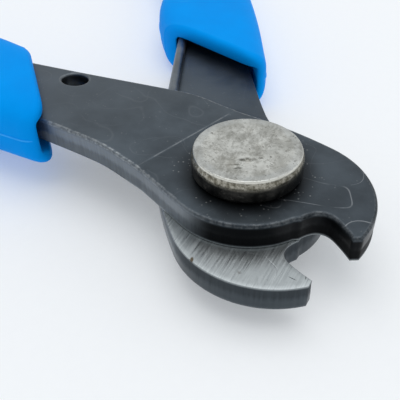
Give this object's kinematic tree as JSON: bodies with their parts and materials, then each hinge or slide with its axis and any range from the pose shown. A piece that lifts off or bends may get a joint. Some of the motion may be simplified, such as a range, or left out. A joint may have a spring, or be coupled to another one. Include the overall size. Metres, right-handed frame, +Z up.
{
  "type": "bypass hard-wire shears",
  "caption": "Compact bypass shears for hard wire: hooked dark steel blades on a large riveted pivot, a hairpin return spring and moulded slip-on grips.",
  "frame": {"origin": "pivot axis at the flat face of the rivet's lower head", "axes": "+X along the closed jaws, +Z up along the pivot axis towards the upper blade; the handles run out towards -X"},
  "size_m": [0.1248, 0.0916, 0.0112],
  "materials": {
    "dark_steel": "black oxide over blanked steel, with bare ground faces at the jaws",
    "bright_steel": "bare turned and riveted steel, finely pitted",
    "spring_steel": "dark spring wire",
    "blue_vinyl": "satin moulded vinyl"
  },
  "bodies": {
    "lower_half": {"lower_blade": "dark_steel", "lower_grip": "blue_vinyl", "pivot_rivet": "bright_steel", "return_spring": "spring_steel"},
    "upper_half": {"upper_blade": "dark_steel", "upper_grip": "blue_vinyl"}
  },
  "joints": [
    {"name": "blade_pivot", "type": "hinge", "parent": "lower_half", "child": "upper_half", "pos_m": [0, 0, 0], "axis": [0, 0, -1], "range_deg": [0, 25], "stiffness_Nm_per_rad": 0.6, "springref_deg": -11.46, "deforming": ["return_spring"]}
  ]
}
